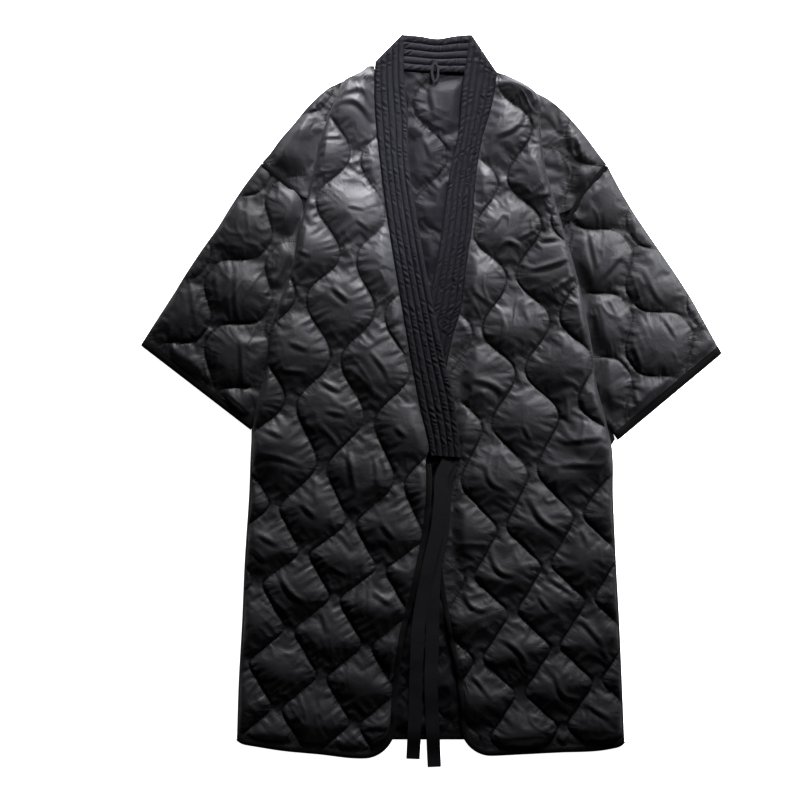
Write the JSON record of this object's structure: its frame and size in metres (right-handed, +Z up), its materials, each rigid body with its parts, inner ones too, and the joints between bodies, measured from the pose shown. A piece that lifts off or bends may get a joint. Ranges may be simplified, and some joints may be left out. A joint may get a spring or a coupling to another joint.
{
  "type": "kimono coat",
  "caption": "Quilted coat of kimono cut with wide short sleeves, a channel-stitched neckband and ribbon ties, laid flat on its back.",
  "frame": {"origin": "on the surface that the coat lies on, in the middle of its width and length", "axes": "+Y from the hem to the neck, +X towards the wearer's left side, +Z up out of the surface"},
  "size_m": [0.871, 1.0994, 0.0186],
  "materials": {
    "quilted_satin": "black satin nylon, onion quilted over thin padding",
    "neckband_satin": "black satin nylon with stitched channels",
    "twill_binding": "matt black twill tape",
    "grosgrain_ribbon": "matt black ribbed ribbon"
  },
  "bodies": {
    "root": {"back_panel": "quilted_satin", "front_right": "quilted_satin", "front_left": "quilted_satin", "shoulder_right": "quilted_satin", "shoulder_left": "quilted_satin", "sleeve_right": "quilted_satin", "sleeve_left": "quilted_satin", "neckband_back": "neckband_satin", "neckband_right": "neckband_satin", "neckband_left": "neckband_satin", "edge_binding_right": "twill_binding", "edge_binding_left": "twill_binding", "hem_binding_back": "twill_binding", "cuff_binding_right": "twill_binding", "cuff_binding_left": "twill_binding", "armhole_binding_right": "twill_binding", "armhole_binding_left": "twill_binding", "tie_right": "grosgrain_ribbon", "tie_left": "grosgrain_ribbon", "hanger_loop": "grosgrain_ribbon"}
  },
  "joints": []
}
